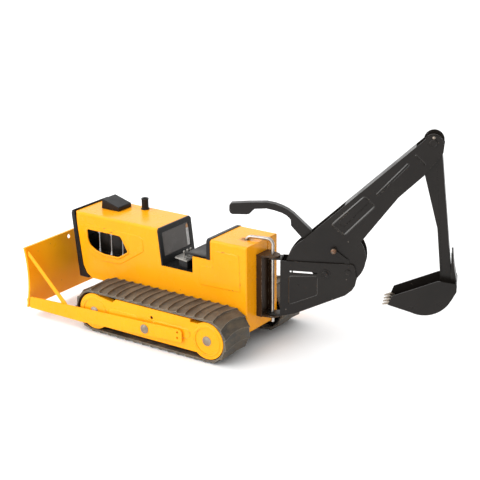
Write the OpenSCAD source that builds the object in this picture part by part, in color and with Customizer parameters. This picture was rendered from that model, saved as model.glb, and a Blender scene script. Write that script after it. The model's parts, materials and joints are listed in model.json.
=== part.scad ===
// Toy crawler dozer with a swinging rear backhoe, in pressed steel. Millimetres.
// +X points forwards to the blade, +Y to the left-hand track, +Z up; the ground is z = 0.
// The origin is on the ground, on the centreline, midway between the two axles.

/* [Body] */
// Width of the pressed-steel body
body_w = 80; // [70:1:84]
// Height of the hood and of the rear box above the ground
roof_z = 158; // [152:1:162]
// Height of the cab floor
floor_z = 102; // [98:1:106]
// Height of the seat step
step_z = 127.5; // [122:0.5:132]
// Thickness of the body sheet
sheet = 1.2; // [0.8:0.1:1.6]

/* [Tracks] */
// Distance between the front and rear axles
wheelbase = 205; // [200:1:210]
// Height of the axles, which is also the radius over the track lugs
axle_z = 34; // [33:0.5:35]
// Width of each rubber track
track_w = 61; // [56:1:61]
// Number of lugs round each track
lug_count = 39; // [36:1:50]

/* [Blade] */
// Width of the dozer blade
blade_w = 217; // [217:1:230]
// Height of the blade sheet
blade_h = 96; // [80:1:100]
// Radius of the blade's curve
blade_r = 191; // [160:1:240]

/* [Backhoe] */
// Angle that the backhoe is swung to the right of straight back
swing = 23.7; // [-30:0.1:35]
// Length of the boom between its two pivots
boom_len = 240.7; // [230:0.1:250]
// Angle of the boom above the horizontal
boom_angle = 53.7; // [40:0.1:56]
// Angle of the dipper away from straight down
dipper_angle = 6.4; // [4:0.1:20]
// Length of the dipper between its two pivots
dipper_len = 203.3; // [195:0.1:210]
// Width of the bucket
bucket_w = 44; // [36:1:50]

/* [Hidden] */
$fn = 48;

yellow = "#f9b21c";
satin_black = "#2b2827";
plastic_black = "#1c1c1e";
rubber = "#3a3631";
steel = "#a7a39c";
zinc = "#b9b4aa";

half = body_w / 2;
hood_front = 188;
hood_rear = 31;
firewall_foot = 24;
step_front = -33;
box_front = -61;
box_rear = -127;
body_foot = 28;
nose_foot = 55;
fit = 0.05;

axle_x = wheelbase / 2;
// The belt hangs a little in front of the front wheel.
belt_slack = 4;
belt_run = wheelbase + belt_slack;
belt_front = axle_x + belt_slack;
axle_r = 3.5;
lug_h = 2.8;
belt_r = axle_z - lug_h;
belt_in = belt_r - 2.4;
wheel_r = belt_in - 0.8;
track_y = 42.5 + track_w / 2;
frame_y = 102;
frame_t = 1.5;
arm_y = 106.6;
arm_t = 1.6;
blade_pivot = [4.8, 29.5];
blade_back = 226;
blade_foot = 13.5;
pivot_r = 3;

rod_x = -145;
rod_r = 2.5;
tower_half = 14.35;
tower_in = tower_half - sheet;
boom_half = 11.6;
boom_in = boom_half - sheet;
boom_pivot = [76.7, 120];
lever_pivot = [108.9, 125];
lever_bend = [106.3, 141.6];
lever_end = [88.2, 155.6];
pin_r = 3;
small_pin_r = 1.5;
dipper_half = 9.6;
tip = boom_pivot + boom_len * [cos(boom_angle), sin(boom_angle)];
bucket_pivot = tip + dipper_len * [sin(dipper_angle), -cos(dipper_angle)];
handle_horn = 15;
dipper_horn = 10;
horn_a = [-3.6, 14.6];
horn_b = [boom_len - 3.6, -9.3];

// A flat plate standing in the XZ plane, from y0 to y0 + t, with its outline as the child.
module plate(y0, t) {
    translate([0, y0 + t, 0]) rotate([90, 0, 0]) linear_extrude(t) children();
}

// The same plate on both sides of the centreline.
module plates(y0, t) {
    plate(y0, t) children();
    plate(-y0 - t, t) children();
}

// A round bar or bore along Y at a point of the XZ plane.
module along_y(p, r, y0, y1) {
    translate([p[0], y1, p[1]]) rotate([90, 0, 0]) cylinder(h = y1 - y0, r = r);
}

// A rectangle with round corners, centred on the origin.
module round_rect(w, h, r) {
    square([w - 2 * r, h], center = true);
    square([w, h - 2 * r], center = true);
    for (x = [-1, 1], y = [-1, 1])
        translate([x * (w / 2 - r), y * (h / 2 - r)]) circle(r);
}

// A pair of round ends joined by a straight web, which is just narrower than they are.
module slot_shape(a, b, r) {
    d = b - a;
    web = 0.96 * r;
    translate(a) rotate(atan2(d[1], d[0])) translate([0, -web]) square([norm(d), 2 * web]);
    translate(a) circle(r);
    translate(b) circle(r);
}

// A domed cap that faces +Y, with its flat side at the origin.
module dome(r, h) {
    R = (r * r + h * h) / (2 * h);
    rotate([-90, 0, 0]) intersection() {
        translate([0, 0, h - R]) sphere(R);
        cylinder(h = h + 1, r = r);
    }
}

/* ---------- body ---------- */

module body_outline(inset) {
    polygon([[hood_front - 1.1 * inset, roof_z - inset], [176 - 1.1 * inset, 74],
        [170 - inset, 62 + inset], [160 - inset, nose_foot + inset], [135, nose_foot + inset],
        [135 - inset, body_foot - inset], [box_rear + inset, body_foot - inset],
        [box_rear + inset, roof_z - inset], [box_front - inset, roof_z - inset],
        [box_front - inset, step_z - inset], [step_front - inset, step_z - inset],
        [step_front - inset, floor_z - inset], [firewall_foot + inset, floor_z - inset],
        [hood_rear + inset, roof_z - inset]]);
}

module body_solid(inset) {
    w = body_w - 2 * inset;
    intersection() {
        plate(-w / 2, w) body_outline(inset);
        translate([-150, 0, (roof_z - inset) / 2])
            rotate([90, 0, 90]) linear_extrude(360) round_rect(w, roof_z - inset, 4 - inset);
        translate([30, 0, 0]) linear_extrude(200) round_rect(316 - 2 * inset, w, 4 - inset);
    }
}

module window_outline() {
    polygon([[166, 134.5], [100, 134.5], [85, 111], [105, 98.5], [134, 98.5],
        [149, 102], [161, 109], [165, 119]]);
}

module window_panel() {
    polygon([[172, 139.5], [65, 139.5], [59, 135], [57, 118], [103, 89], [143, 88],
        [162, 97], [170, 112]]);
}

module rear_panel() {
    polygon([[-70, 143], [-114, 143], [-116, 90], [-46, 88], [-46, 115], [-70, 117]]);
}

module body_shell() {
    color(yellow) difference() {
        union() {
            body_solid(0);
            plates(half - 0.1, 0.8) window_panel();
            plates(half - 0.1, 0.8) rear_panel();
            plates(half, 1.4) difference() {
                translate([0, -1.6]) window_outline();
                translate([0, 1]) window_outline();
            }
        }
        body_solid(sheet);
        plates(half - 5, 10) window_outline();
        // the cab opening between the side walls
        translate([step_front - 2.3, sheet - half, floor_z - 5])
            cube([firewall_foot - step_front + 8.1, body_w - 2 * sheet, 60]);
        translate([box_front - 0.2, sheet - half, step_z - 5])
            cube([step_front - box_front + 1, body_w - 2 * sheet, 30]);
        plate(sheet - half, body_w - 2 * sheet)
            polygon([[box_front - 2, step_z + 3], [box_front + 8, step_z + 3], [box_front + 8, roof_z - 5],
                [box_front - 2, roof_z - 5]]);
        // the radiator opening in the nose
        translate([165, -33, 68]) cube([40, 66, 80]);
        plate(sheet - half, body_w - 2 * sheet)
            polygon([[hood_rear - 9, floor_z + 4], [hood_rear + 3, floor_z + 4],
                [hood_rear + 8, roof_z - 5], [hood_rear - 4, roof_z - 5]]);
        for (x = [-axle_x, axle_x]) along_y([x, axle_z], axle_r, -half - 2, half + 2);
        translate([-106, 7.8, roof_z - 5]) cylinder(h = 10, r = rod_r + 1);
        // the pressed recess over the swing rod
        translate([box_rear - 1, -16, 139]) cube([1.7, 32, 14]);
    }
}

module grille_outline() {
    polygon([[166, 54], [184, 54], [195.5, 154], [194, 159], [191, 160.5], [189.4, 160.5],
        [189.4, 158.5], [177.2, 74], [172.2, 63.5], [166, 57]]);
}

module grille_frame() {
    color(plastic_black) difference() {
        plate(-half - 1, body_w + 2) grille_outline();
        translate([160, -32, 70]) cube([50, 64, 76]);
    }
}

module grille_bars() {
    color(plastic_black) {
        for (i = [0:7]) translate([179.5 + 0.115 * i * 9.4, -32, 73.5 + i * 9.4]) cube([4, 64, 3]);
        for (y = [-22, 0, 22])
            plate(y - 1.5, 3) polygon([[179.6, 70], [182.4, 70], [191.2, 146], [188.4, 146]]);
        // the closed panel behind the bars
        plate(-32, 64) polygon([[179.1, 70.4], [180.6, 70.4], [189.3, 145.6], [187.8, 145.6]]);
    }
}

module air_cleaner_cowl() {
    color(plastic_black) plate(-24, 31) polygon([[129.5, roof_z], [163.5, roof_z], [162, roof_z + 15.2],
        [160.5, roof_z + 15.6], [130.5, roof_z + 7], [129.5, roof_z + 5.8]]);
}

module exhaust_stack() {
    color(plastic_black) translate([105, -27, 0]) difference() {
        union() {
            translate([0, 0, roof_z]) cylinder(h = 17.5, r = 5.4);
            translate([0, 0, roof_z]) cylinder(h = 1.6, r = 6.6);
            translate([0, 0, roof_z + 15.5]) cylinder(h = 2, r = 5.9);
        }
        translate([0, 0, roof_z + 5]) cylinder(h = 20, r = 4.3);
    }
}

module engine_block() {
    color(satin_black) {
        translate([80, -half + sheet, 90]) cube([84, body_w - 2 * sheet, 6]);
        translate([88, -24, 96]) cube([66, 48, 34]);
        for (x = [98, 121, 144]) translate([x, 0, 130]) cylinder(h = 12, r = 9);
    }
}

module engine_rods() {
    color("silver") for (s = [-1, 1], x = [100.5, 122.5, 145.5]) translate([x, s * 34.6, 96]) {
        cylinder(h = 40, r = 1.2);
        cylinder(h = 3, r = 3.8);
        translate([0, 0, 3]) cylinder(h = 6, r1 = 3.1, r2 = 1.3);
        translate([0, 0, 34]) cylinder(h = 3, r = 2.7);
    }
}

module cab_tub() {
    w = body_w - 2 * sheet;
    color(plastic_black) plate(-w / 2, w)
        polygon([[box_front + 0.2, step_z - 2.2], [step_front - 2.2, step_z - 2.2],
            [step_front - 2.2, floor_z - 2.2], [hood_rear - 5, floor_z - 2.2], [hood_rear - 5, floor_z],
            [step_front, floor_z], [step_front, step_z], [box_front + 0.2, step_z]]);
}

module windshield_frame() {
    color(plastic_black) difference() {
        plate(-half, body_w) polygon([[firewall_foot - 2.6, floor_z + 0.1], [firewall_foot - 0.1, floor_z + 0.1],
            [hood_rear - 0.1, roof_z], [hood_rear - 2.6, roof_z]]);
        translate([10, -half + 8, floor_z + 12]) cube([40, body_w - 16, roof_z - floor_z - 20]);
        for (s = [-1, 1]) translate([20, s * half, roof_z]) rotate([45, 0, 0])
            cube([40, 4.6, 4.6], center = true);
    }
}

module windshield_pane() {
    color(plastic_black) plate(-half + 8, body_w - 16) translate([0.9, 0])
        polygon([[23, floor_z + 12], [24.3, floor_z + 12], [28.8, roof_z - 8], [27.5, roof_z - 8]]);
}

module seat() {
    color(plastic_black) {
        translate([box_front + 0.6, -37, step_z]) cube([40, 74, 3.4]);
        translate([box_front + 0.6, -30, step_z + 3.4]) cube([6, 60, 20]);
    }
}

module control_console() {
    color(steel) plate(8, 28) polygon([[-18, floor_z], [-3, floor_z], [2, floor_z + 14],
        [0, floor_z + 18], [-20, floor_z + 16], [-20, floor_z + 12]]);
}

module console_levers() {
    color(steel) for (y = [14, 22, 30]) translate([-11, y, floor_z + 16.5]) {
        translate([0, 0, -0.5]) cylinder(h = 9, r = 1.1);
        translate([0, 0, 9]) sphere(2);
    }
}

module rear_trim() {
    lip = 1.1;
    wrap = 3.4;
    color(plastic_black) difference() {
        translate([box_front - wrap, 0, roof_z / 2]) rotate([90, 0, 90]) linear_extrude(wrap + 2.4)
            round_rect(body_w + 2 * lip, roof_z + 2 * lip, 4 + lip);
        // the edge of the box that it clips over
        translate([box_front - wrap - 1, 0, roof_z / 2]) rotate([90, 0, 90]) linear_extrude(wrap + 1.1)
            round_rect(body_w + 0.04, roof_z + 0.04, 4.02);
        translate([box_front - 1, 2 - half, -5]) cube([5, body_w - 4, roof_z + 3]);
        translate([box_front - wrap - 1, -half - 5, -5]) cube([wrap + 6, body_w + 10, step_z + 5.3]);
    }
}

module chassis_plate() {
    start = box_rear + sheet + 3;
    run = 133.5 - start;
    color(satin_black) translate([start, -half + sheet, body_foot]) difference() {
        cube([run, body_w - 2 * sheet, 14]);
        translate([1.5, 1.5, 1.5]) cube([run - 3, body_w - 2 * sheet - 3, 20]);
        for (x = [-axle_x, axle_x])
            translate([x - start, 0, axle_z - body_foot]) rotate([-90, 0, 0])
                cylinder(h = body_w, r = axle_r);
    }
}

/* ---------- tracks ---------- */

module side_frame_outline(grow) {
    for (x = [-axle_x, axle_x]) translate([x, axle_z]) circle(27.4 + grow);
    polygon([[-88, 13 - grow], [93, 13 - grow], [93, 59.4 + grow], [67, 55.2 + grow], [61 + grow, 61 + grow],
        [-74 - grow, 61 + grow], [-74 - grow, 56.5 + grow], [-88, 56.5 + grow]]);
}

module side_frame() {
    color(yellow) difference() {
        union() {
            plate(frame_y, frame_t) side_frame_outline(0);
            // turned-in rim that stiffens the plate
            plate(frame_y - 8, 8) difference() {
                side_frame_outline(0);
                side_frame_outline(-1.3);
            }
            // pressed rings round the axle ends
            for (x = [-axle_x, axle_x]) plate(frame_y + frame_t, 0.8) translate([x, axle_z]) difference() {
                circle(22);
                circle(19.5);
            }
            // pressed ridge along the middle
            plate(frame_y + frame_t, 0.9) slot_shape([-66, 37], [-14, 37], 6.5);
            plate(frame_y + frame_t, 0.9) slot_shape([27, 37], [66, 37], 6.5);
            along_y(blade_pivot, 7, frame_y - 6, frame_y + frame_t + 2);
        }
        for (x = [-axle_x, axle_x]) along_y([x, axle_z], axle_r, frame_y - 10, frame_y + 5);
        along_y(blade_pivot, pivot_r, frame_y - 10, frame_y + 8);
        along_y([-5, 47.5], 2.4, frame_y - 10, frame_y + 5);
    }
}

module left_side_frame() { side_frame(); }

module right_side_frame() { mirror([0, 1, 0]) side_frame(); }

module axle(x) {
    color(steel) along_y([x, axle_z], axle_r, -frame_y - frame_t - 0.2, frame_y + frame_t + 0.2);
}

module front_axle() { axle(axle_x); }

module rear_axle() { axle(-axle_x); }

module axle_caps() {
    color(zinc) for (s = [0, 1], x = [-axle_x, axle_x]) mirror([0, s, 0])
        translate([x, frame_y + frame_t + 0.2, axle_z]) {
            rotate([-90, 0, 0]) cylinder(h = 0.6, r = 7.2);
            translate([0, 0.6, 0]) dome(6.6, 1.9);
        }
}

module belt_ring(r) {
    for (x = [-axle_x, belt_front]) translate([x, axle_z]) circle(r, $fn = 96);
    translate([-axle_x, axle_z - r]) square([belt_run, 2 * r]);
}

// Places a lug at a distance s along the outside of the belt.
module at_belt(s) {
    arc = PI * belt_r;
    t = s < belt_run ? [belt_front - s, 0]
        : s < belt_run + arc ? [-axle_x, -(s - belt_run) / arc * 180]
        : s < 2 * belt_run + arc ? [s - belt_run - arc - axle_x, 180]
        : [belt_front, 180 - (s - 2 * belt_run - arc) / arc * 180];
    translate([t[0], 0, axle_z]) rotate([0, -t[1], 0]) translate([0, 0, -belt_r]) children();
}

module track() {
    loop = 2 * belt_run + 2 * PI * belt_r;
    color(rubber) {
        plate(track_y - track_w / 2, track_w) difference() {
            belt_ring(belt_r);
            belt_ring(belt_in);
        }
        for (i = [0:lug_count - 1]) at_belt((belt_front + i * loop / lug_count) % loop)
            translate([-2, track_y - track_w / 2, -lug_h]) cube([4, track_w, lug_h + 0.6]);
    }
}

module left_track() { track(); }

module right_track() { mirror([0, 1, 0]) track(); }

module wheel(x) {
    color(plastic_black) translate([x, track_y, axle_z]) rotate([90, 0, 0]) rotate_extrude($fn = 72)
        polygon([[axle_r + fit, -19.5], [8, -19.5], [8, -3], [wheel_r - 4, -3], [wheel_r - 4, -19],
            [wheel_r, -19], [wheel_r, 22], [wheel_r - 4, 22], [wheel_r - 4, 3], [8, 3], [8, 28],
            [axle_r + fit, 28]]);
}

module front_left_wheel() { wheel(axle_x); }

module front_right_wheel() { mirror([0, 1, 0]) wheel(axle_x); }

module rear_left_wheel() { wheel(-axle_x); }

module rear_right_wheel() { mirror([0, 1, 0]) wheel(-axle_x); }

/* ---------- blade ---------- */

module blade_pivot_pins() {
    color(zinc) for (s = [0, 1]) mirror([0, s, 0]) {
        along_y(blade_pivot, pivot_r, frame_y - 6, arm_y + arm_t + 0.5);
        translate([blade_pivot[0], arm_y + arm_t + 0.4, blade_pivot[1]]) {
            rotate([-90, 0, 0]) cylinder(h = 0.6, r = 7);
            translate([0, 0.6, 0]) dome(6.5, 2.4);
        }
    }
}

module blade_section(extra) {
    mid = blade_foot + blade_h / 2;
    intersection() {
        translate([blade_back + blade_r, mid]) difference() {
            circle(blade_r, $fn = 180);
            circle(blade_r - sheet - extra, $fn = 180);
        }
        translate([blade_back - 5, blade_foot]) square([30, blade_h]);
    }
}

module blade() {
    lip_x = blade_back + blade_r - sqrt(blade_r * blade_r - blade_h * blade_h / 4);
    color(yellow) difference() {
        union() {
            plate(-blade_w / 2, blade_w) blade_section(0);
            // side cheeks and the turned top lip
            plates(blade_w / 2 - sheet, sheet) blade_section(2.2);
            translate([lip_x, -blade_w / 2, blade_foot + blade_h - sheet]) cube([3.6, blade_w, sheet]);
            translate([lip_x + 0.4, -blade_w / 2, blade_foot]) cube([1.6, blade_w, 14]);
        }
        translate([blade_back - 10, 11, blade_foot + blade_h - 8]) rotate([0, 90, 0]) cylinder(h = 30, r = 3.2);
    }
}

module push_arm() {
    color(yellow) difference() {
        plate(arm_y, arm_t) polygon([[230.4, 15], [227.6, 31], [226, 32], [-55, 42.6], [-60, 41.6], [-62, 39],
            [-62, 25], [-60, 23], [125, 13.2], [228, 13.5]]);
        along_y(blade_pivot, pivot_r + fit, arm_y - 1, arm_y + arm_t + 1);
        along_y([-54, 37.5], 1.6, arm_y - 1, arm_y + arm_t + 1);
        along_y([-54, 29], 1.6, arm_y - 1, arm_y + arm_t + 1);
    }
}

module left_push_arm() { push_arm(); }

module right_push_arm() { mirror([0, 1, 0]) push_arm(); }

module strut() {
    color(yellow) plate(arm_y - 1.4, 1.4) polygon([[150, 16.5], [162, 15.9], [166, 36], [227.4, 97],
        [228.4, 104], [225.6, 104], [155, 36]]);
}

module left_strut() { strut(); }

module right_strut() { mirror([0, 1, 0]) strut(); }

/* ---------- backhoe ---------- */

// The frame of the swung backhoe: children are drawn in it with d measured back from the rod.
module swung() {
    translate([rod_x, 0, 0]) rotate([0, 0, swing]) children();
}

// A point of the backhoe's plane as [distance behind the rod, height], turned into [x, z].
function back(p) = [-p[0], p[1]];

// A side plate of the backhoe from an outline drawn in [distance behind the rod, height].
module arm_plate(y0, t) {
    swung() plate(y0, t) mirror([1, 0]) children();
}

module arm_plates(y0, t) {
    arm_plate(y0, t) children();
    arm_plate(-y0 - t, t) children();
}

module arm_bar(p, r, y0, y1) {
    swung() along_y(back(p), r, y0, y1);
}

// 2D frames of the boom, of the dipper and of the bucket.
module on_boom() {
    translate(boom_pivot) rotate(boom_angle) children();
}

module on_dipper() {
    translate(tip) rotate(dipper_angle - 90) children();
}

module lug_outline(reach) {
    circle(8.5);
    translate([0, -8.5]) square([reach, 17]);
}

module swing_bracket() {
    lug = 138.2;
    foot = 47.5;
    wall = box_rear - 2;
    color(satin_black) difference() {
        union() {
            translate([wall, -15, foot]) cube([2, 30, lug - foot + 2.4]);
            for (y = [-15, 15 - 1.4]) translate([wall - 7, y, foot]) cube([8, 1.4, lug - foot]);
            for (z = [foot, lug]) translate([rod_x, 0, z]) linear_extrude(2.4) {
                circle(11);
                polygon([[0, -11], [0, 11], [wall - rod_x, 15], [wall - rod_x, -15]]);
            }
        }
        translate([rod_x, 0, 40]) cylinder(h = 110, r = rod_r);
    }
}

module swing_pin() {
    bend = 8;
    top = 163;
    color(steel) translate([rod_x, 0, 0]) {
        rotate([0, 0, 12]) {
            translate([0, 0, 38]) cylinder(h = top - bend - 38, r = rod_r);
            translate([bend, 0, top - bend]) rotate([90, 0, 0])
                rotate([0, 0, 90]) rotate_extrude(angle = 90) translate([bend, 0]) circle(rod_r);
            translate([bend, 0, top]) rotate([0, 90, 0]) cylinder(h = 24, r = rod_r);
            translate([bend + 24, 0, top - bend]) rotate([90, 0, 0])
                rotate_extrude(angle = 90) translate([bend, 0]) circle(rod_r);
            translate([2 * bend + 24, 0, roof_z - 8]) cylinder(h = top - bend - roof_z + 8, r = rod_r);
        }
    }
}

module tower_outline() {
    polygon([[13, 53], [13, 136.4], [115, 136.4], [117.5, 134], [121, 115.3], [119, 105.5], [115, 98.5],
        [105.4, 90], [53.3, 66.5], [34, 58]]);
}

module tower() {
    color(satin_black) difference() {
        union() {
            arm_plates(tower_in, sheet) tower_outline();
            arm_plate(-tower_in - 0.1, 2 * tower_in + 0.2) polygon([[13, 53], [14.2, 53], [14.2, 136.4], [13, 136.4]]);
            arm_plates(tower_half - 0.1, 0.7)
                polygon([[26, 71.5], [26, 114], [65.5, 116], [65.5, 88]]);
            arm_plates(tower_half - 0.1, 1) translate(boom_pivot) circle(7);
            swung() for (z = [50.4, 135.2]) translate([0, 0, z]) linear_extrude(2.6) mirror([1, 0]) lug_outline(13.5);
        }
        arm_plate(tower_in - 1, 4) slot_shape([28, 121.2], [64, 120.6], 1.4);
        arm_plate(-tower_half - 2, 4) slot_shape([26, 110], [62, 110], 4.5);
        arm_bar(boom_pivot, pin_r, -20, 20);
        arm_bar(lever_pivot, 2, 0, 20);
        swung() translate([0, 0, 45]) cylinder(h = 100, r = rod_r + fit);
    }
}

module boom_pin() {
    color(satin_black) {
        arm_bar(boom_pivot, pin_r, -tower_half - 1.5, tower_half + 1.5);
        arm_bar(boom_pivot, 5, tower_half + 0.9, tower_half + 1.9);
        arm_bar(boom_pivot, 5, -tower_half - 1.9, -tower_half - 0.9);
    }
}

// Top edge of the boom at a distance u along it.
function boom_top(u) = 58.3 - 0.196 * u;

module boom_outline(end, end_r) {
    intersection() {
        circle(58, $fn = 96);
        polygon([[0, 0], [60, 78], [0, 100], [-40, 100]]);
    }
    translate([29, 3]) circle(41.5, $fn = 96);
    polygon([[0, 0], [11.4, boom_top(11.4)], [boom_len + 5, boom_top(boom_len + 5)],
        [boom_len + 7, -13], [boom_len - 2, -18.4], [198, -18.3], [152, -10.6], [60, -10]]);
    translate(end) circle(end_r);
}

module boom() {
    color(satin_black) difference() {
        union() {
            arm_plate(boom_in, sheet) on_boom() boom_outline([boom_len - 1, -1.8], 12.8);
            arm_plate(-boom_half, sheet) on_boom() boom_outline([boom_len, 0], 13.9);
            // the folded spine along the top edge
            arm_plate(-boom_in - 0.1, 2 * boom_in + 0.2) on_boom()
                polygon([[96, boom_top(96)], [222, boom_top(222)], [222, boom_top(222) - sheet],
                    [96, boom_top(96) - sheet]]);
            // pressed panel, ridge and stop bead on the outside
            arm_plates(boom_half - 0.1, 0.7) on_boom() {
                slot_shape([76, 26.5], [118, 22], 5);
                slot_shape([138, 14], [196, 8], 1.2);
                slot_shape([213, 7], [211, -9], 0.9);
            }
            arm_plates(boom_half - 0.1, 1.2) translate(tip) circle(5.6);
        }
        arm_bar(boom_pivot, pin_r + fit, -20, 20);
        arm_bar(tip, pin_r, -20, 20);
    }
}

module dipper_pin() {
    color(satin_black) {
        arm_bar(tip, pin_r, -boom_half - 1.6, boom_half + 1.6);
        arm_bar(tip, 4.5, boom_half + 1.1, boom_half + 2);
        arm_bar(tip, 4.5, -boom_half - 2, -boom_half - 1.1);
    }
}

module handle_outline() {
    translate(boom_pivot) circle(8.5);
    translate(boom_pivot) rotate(boom_angle) slot_shape([0, 0], horn_a, 4.5);
    polygon([[69, 116], [44.5, 166.5], [26.8, 186], [26, 195.2], [21, 200.2], [14, 204], [4, 207], [-8, 209.4],
        [-25, 208], [-32.5, 200.3], [-36, 199.4], [-57, 198.8], [-60, 200.8], [-61.2, 204], [-61, 212],
        [-59, 214.6], [-34, 217], [-8, 218.4], [4, 216.4], [14, 213], [22, 209.2], [30, 203.6], [58, 177.5],
        [84, 124]]);
}

module control_handle() {
    color(satin_black) difference() {
        union() {
            arm_plates(3.8, 1.2) handle_outline();
            // web along the top of the folded channel
            arm_plate(-3.9, 7.8) polygon([[-60.9, 205], [-61, 212], [-59, 214.6], [-34, 217], [-8, 218.4], [4, 216.4],
                [14, 213], [22, 209.2], [30, 203.6], [56, 179.4], [55, 178.4],
                [29.2, 202.6], [21.4, 208.1], [13.6, 211.8], [3.8, 215.2], [-8, 217.2], [-34, 215.8],
                [-58.4, 213.5], [-59.8, 212], [-59.7, 205]]);
            swung() plate(-4, 8) mirror([1, 0]) on_boom() translate(horn_a) circle(small_pin_r);
            arm_plate(-3.9, 2) translate(boom_pivot) circle(5);
            arm_plate(1.9, 2) translate(boom_pivot) circle(5);
        }
        arm_bar(boom_pivot, pin_r + fit, -20, 20);
    }
}

module link_rod() {
    eye = small_pin_r + 2.7;
    color(steel) swung() plate(-1.2, 2.4) mirror([1, 0]) on_boom() difference() {
        union() {
            slot_shape(horn_a + [14, 0], horn_b - [12, 0], 2.2);
            slot_shape(horn_a, horn_a + [16, 0], 2.2);
            slot_shape(horn_b - [14, 0], horn_b, 2.2);
            translate(horn_a) circle(eye + 1.6);
            translate(horn_b) circle(eye + 1.6);
        }
        translate(horn_a) circle(eye);
        translate(horn_b) circle(eye);
    }
}

module latch_lever() {
    color(steel) {
        arm_bar(lever_pivot, 2 - fit, tower_in - 1, tower_half + 1);
        // the rivet's head outside the tower
        arm_bar(lever_pivot, 3.4, tower_half + 0.4, tower_half + 1.4);
        // the lever stands up behind the tower's plate and bends forwards over its edge
        arm_plate(boom_half + 0.35, 0.85) slot_shape(lever_pivot, lever_bend, 3.2);
        arm_plate(boom_half + 0.35, 2) slot_shape(lever_bend + [-1.6, 1.4], lever_end, 2.3);
        arm_plate(boom_half + 0.35, 0.85) slot_shape(lever_bend, lever_end, 2.3);
    }
}

module latch_knob() {
    color(steel) swung() translate([-lever_end[0], boom_half + 4.7, lever_end[1]]) sphere(4.2);
}

module dipper_outline() {
    circle(12.4);
    polygon([[0, -12.3], [40, -15.5], [120, -3.6], [dipper_len - 8, -4.6], [dipper_len + 7, -1],
        [dipper_len + 7, 6.5], [dipper_len, 10.6], [5, 10.6], [-5, 12], [0, 0]]);
}

module dipper() {
    horn = tip + dipper_horn * [cos(boom_angle - 111), sin(boom_angle - 111)];
    color(satin_black) difference() {
        union() {
            arm_plates(dipper_half - sheet, sheet) on_dipper() dipper_outline();
            arm_plate(-dipper_half + 0.9, 2 * dipper_half - 1.8) on_dipper()
                polygon([[16, 9.4], [dipper_len - 8, 9.4], [dipper_len - 8, 10.6], [16, 10.6]]);
            arm_bar(horn, small_pin_r, -dipper_half + 0.9, dipper_half - 0.9);
        }
        arm_bar(tip, pin_r + fit, -20, 20);
        arm_bar(bucket_pivot, small_pin_r + 1, -20, 20);
    }
}

module bucket_pin() {
    color(steel) {
        arm_bar(bucket_pivot, small_pin_r + 1, -12.4, 12.4);
        arm_bar(bucket_pivot, 4.2, 11.6, 12.8);
        arm_bar(bucket_pivot, 4.2, -12.8, -11.6);
    }
}

bowl = [-27.5, 0.5];
bowl_r = 42;
bowl_foot = bowl + (bowl_r - 0.3) * [cos(253), sin(253)];

module bucket_side() {
    difference() {
        union() {
            translate(bowl) circle(bowl_r, $fn = 96);
            polygon([[-76, -29], bowl_foot, bowl, [-8.5, 10], [-71, -16]]);
            polygon([bowl, [10, -17.4], [17.4, -3.8], [17.4, 4], [16.2, 7.6]]);
        }
        polygon([[-90, -24], [-71, -16], [-8.5, 10], [14, 7.5], [30, 7.5], [30, 60], [-90, 60]]);
    }
}

module bucket_wrap() {
    intersection() {
        translate(bowl) difference() {
            circle(bowl_r, $fn = 96);
            circle(bowl_r - 1.4, $fn = 96);
        }
        polygon([bowl_foot, bowl, [27.3, -23.9], [40, -60], bowl_foot + [0, -10]]);
    }
    // the back wall flares out above the bowl
    polygon([[9.2, -17.5], [10.6, -18], [17.5, -4.2], [17.5, 4], [16.3, 8], [15, 7.7], [16.1, 3.7], [16.1, -3.6]]);
    polygon([[-76, -29], bowl_foot, bowl_foot + [1, 0.8], bowl_foot + [0.5, 1.3], [-75.3, -27.5]]);
}

module at_bucket() {
    translate(bucket_pivot) children();
}

module bucket() {
    w = bucket_w / 2;
    color(satin_black) difference() {
        union() {
            arm_plates(w - sheet, sheet) at_bucket() bucket_side();
            arm_plate(-w, 2 * w) at_bucket() bucket_wrap();
            // the folded strap that runs up behind the dipper
            arm_plate(-12, 24) at_bucket()
                polygon([[16.2, 3], [17.4, 3], [12.6, 28], [10.1, 49], [8.9, 49], [11.4, 27.8]]);
            arm_plates(11, 1.2) at_bucket()
                polygon([[9, 3], [17.3, 3], [12.5, 28], [10, 49], [7.7, 49], [8.2, 28]]);
            // hinge ears
            arm_plates(10, 1.3) at_bucket() {
                circle(6.5);
                polygon([[0, -6.5], [0, 6.5], [13, 4], [11.5, -14], [6, -12]]);
            }
        }
        arm_bar(bucket_pivot, small_pin_r + 1 + fit, -20, 20);
    }
}

module bucket_teeth() {
    color(steel) for (i = [-1.5:1:1.5]) arm_plate(i * 11.6 - 2.4, 4.8) at_bucket()
        polygon([[-74.8, -27.2], [-69, -28.6], [-69, -27.2], [-75, -25.4], [-84, -29.2], [-84, -30], [-76, -29.1],
            [-75.3, -27.3]]);
}

body_shell();
grille_frame();
grille_bars();
air_cleaner_cowl();
exhaust_stack();
engine_block();
engine_rods();
cab_tub();
windshield_frame();
windshield_pane();
seat();
control_console();
console_levers();
rear_trim();
chassis_plate();
left_side_frame();
right_side_frame();
front_axle();
rear_axle();
axle_caps();
left_track();
right_track();
front_left_wheel();
front_right_wheel();
rear_left_wheel();
rear_right_wheel();
blade_pivot_pins();
blade();
left_push_arm();
right_push_arm();
left_strut();
right_strut();
swing_bracket();
swing_pin();
tower();
boom_pin();
boom();
dipper_pin();
control_handle();
link_rod();
latch_lever();
latch_knob();
dipper();
bucket_pin();
bucket();
bucket_teeth();
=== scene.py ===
# Looks for the toy crawler dozer with a backhoe: materials, pressed and moulded pieces, light and camera.
import json
import math

import bmesh
import bpy
from mathutils import Matrix, Vector


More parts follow.
